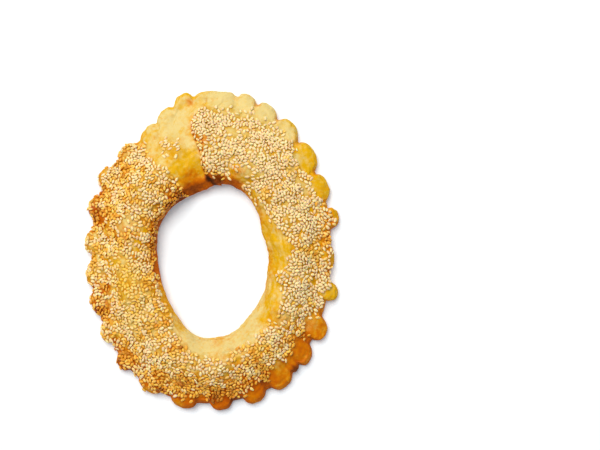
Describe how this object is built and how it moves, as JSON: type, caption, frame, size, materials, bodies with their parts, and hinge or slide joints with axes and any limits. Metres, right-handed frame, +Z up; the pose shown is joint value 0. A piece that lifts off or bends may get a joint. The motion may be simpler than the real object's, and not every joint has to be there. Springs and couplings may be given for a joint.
{
  "type": "simit",
  "caption": "Oval ring of baked bread dough, its outer edge snipped into blunt teeth, one end lapped over the other, with sesame seeds on top.",
  "frame": {"origin": "centre of the bounding box's bottom face, on the flat underside, in the middle of the ring", "axes": "+Z up from the tray it was baked on, +Y along the oval's length towards the end with the lapped join, +X across it"},
  "size_m": [0.1726, 0.2162, 0.0259],
  "materials": {
    "crust": "egg-washed golden bread crust, browned along the edge and in the creases",
    "sesame": "hulled sesame seed, cream, toasted in places"
  },
  "bodies": {
    "root": {"simit": "crust"}
  },
  "joints": []
}
